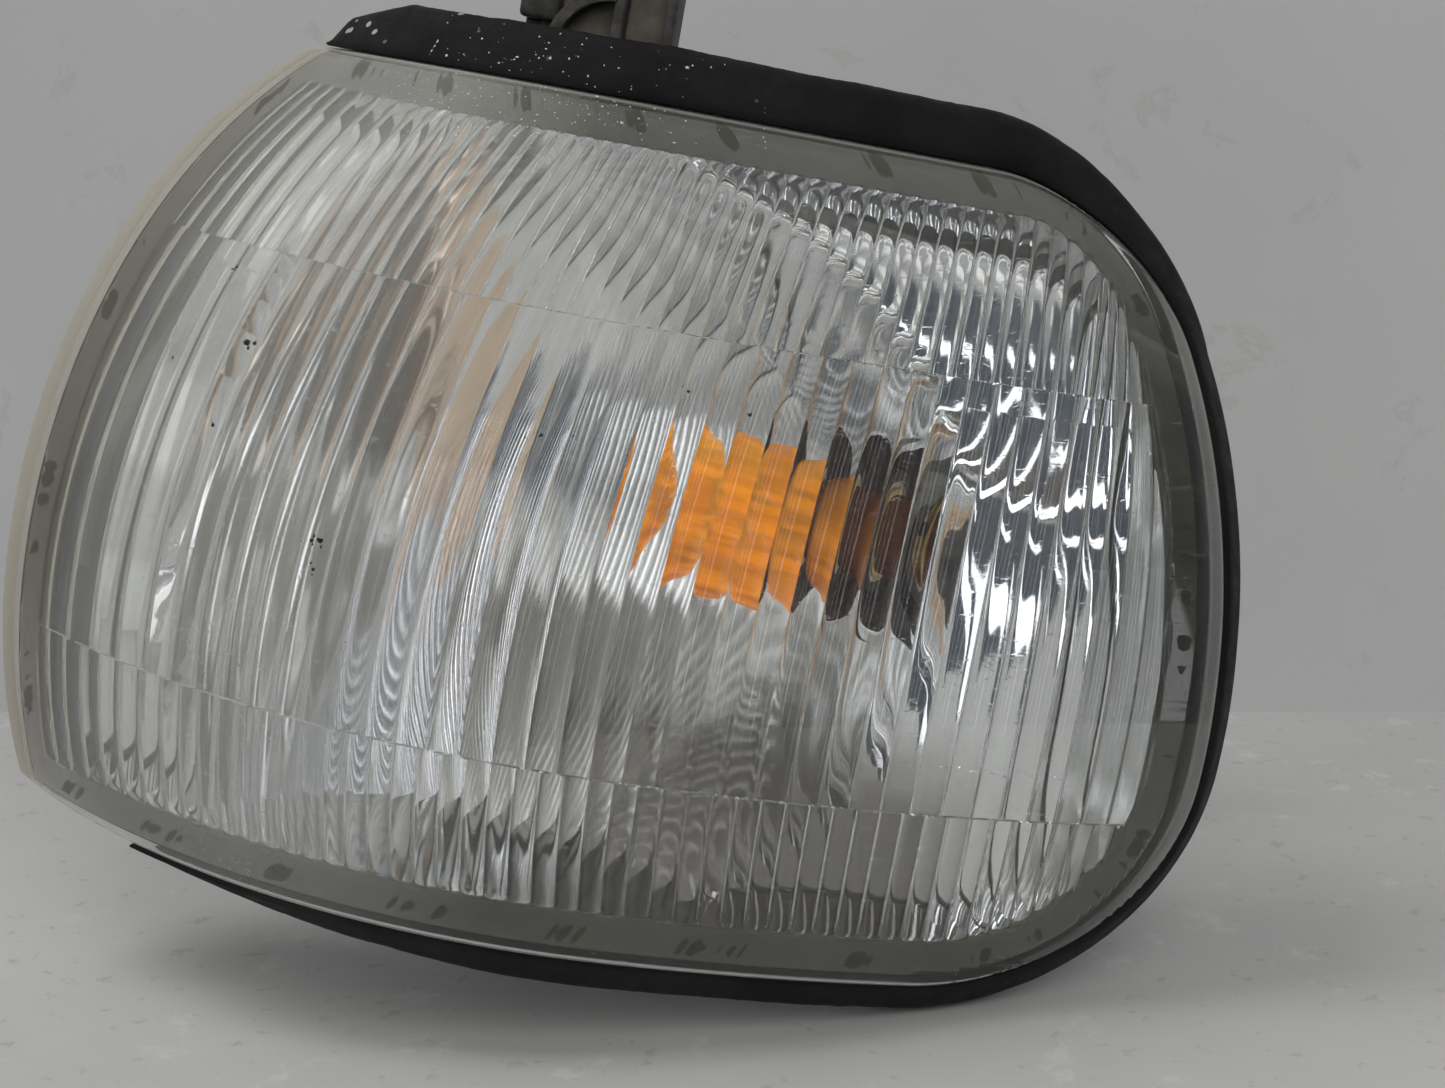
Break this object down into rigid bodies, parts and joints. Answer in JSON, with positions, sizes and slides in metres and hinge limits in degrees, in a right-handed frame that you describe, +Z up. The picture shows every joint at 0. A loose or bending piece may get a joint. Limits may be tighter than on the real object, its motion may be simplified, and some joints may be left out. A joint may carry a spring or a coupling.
{
  "type": "turn signal lamp",
  "caption": "Front corner turn signal lamp with clear fluted lens, bright bowl reflector, amber bulb, turn-lock socket, wiring plug, body seal and mounting bracket.",
  "frame": {"origin": "middle of the screw hole in the bracket, on its axis", "axes": "+X rearward on the car, +Y inboard, +Z up"},
  "size_m": [0.1931, 0.1328, 0.1614],
  "materials": {
    "lens_clear": "clear moulded plastic",
    "sealant": "aged olive sealant",
    "housing_plastic": "moulded",
    "aluminised": "vapour coated",
    "seal_rubber": "matte, dusty",
    "bracket_plastic": "moulded",
    "steel": "zinc plated",
    "pin_plastic": "natural nylon",
    "soft_rubber": "matte",
    "amber_glass": "lacquered amber glass",
    "stem_glass": "clear",
    "tungsten": "wire",
    "lead_wire": "wire",
    "brass": "bare",
    "black_glass": "fused",
    "solder": "dull",
    "socket_plastic": "heat resistant",
    "plated_brass": "tin plated",
    "fibre_board": "phenolic",
    "spring_steel": "bright",
    "wire_green": "insulation",
    "wire_red": "insulation",
    "wire_black": "insulation",
    "connector_plastic": "moulded",
    "lock_plastic": "moulded"
  },
  "bodies": {
    "lamp": {"lens": "lens_clear", "adhesive_bead": "sealant", "housing": "housing_plastic", "reflector": "aluminised", "body_seal": "seal_rubber", "top_bracket": "bracket_plastic", "bracket_sleeve": "steel", "locating_pin": "pin_plastic", "vent_cap": "soft_rubber"},
    "socket": {"socket_body": "socket_plastic", "socket_shell": "plated_brass", "socket_seal": "soft_rubber", "wire_boot": "soft_rubber", "wire_signal": "wire_green", "wire_marker": "wire_red", "wire_ground": "wire_black", "connector_body": "connector_plastic", "connector_terminals": "plated_brass", "contact_spring": "spring_steel"},
    "contacts": {"contact_plate": "fibre_board", "socket_contacts": "brass"},
    "bulb": {"bulb_glass": "amber_glass", "bulb_stem": "stem_glass", "filament_signal": "tungsten", "filament_marker": "tungsten", "filament_leads": "lead_wire", "bulb_base": "brass", "base_insulator": "black_glass", "base_contacts": "solder"},
    "plug_lock": {"connector_lock": "lock_plastic"}
  },
  "joints": [
    {"name": "socket_twist", "type": "hinge", "parent": "lamp", "child": "socket", "pos_m": [0.0271, -0.05733, -0.0876], "axis": [0.9903, -0.1392, 0], "range_deg": [0, 40]},
    {"name": "bulb_push", "type": "slide", "parent": "socket", "child": "contacts", "axis": [0.9903, -0.1392, 0], "range_m": [0, 0.0016], "deforming": ["contact_spring"]},
    {"name": "bulb_turn", "type": "hinge", "parent": "contacts", "child": "bulb", "pos_m": [0.0271, -0.05733, -0.0876], "axis": [0.9903, -0.1392, 0], "range_deg": [-20, 0]},
    {"name": "lock_slide", "type": "slide", "parent": "socket", "child": "plug_lock", "axis": [0.9903, -0.1392, 0], "range_m": [0, 0.0025]}
  ]
}
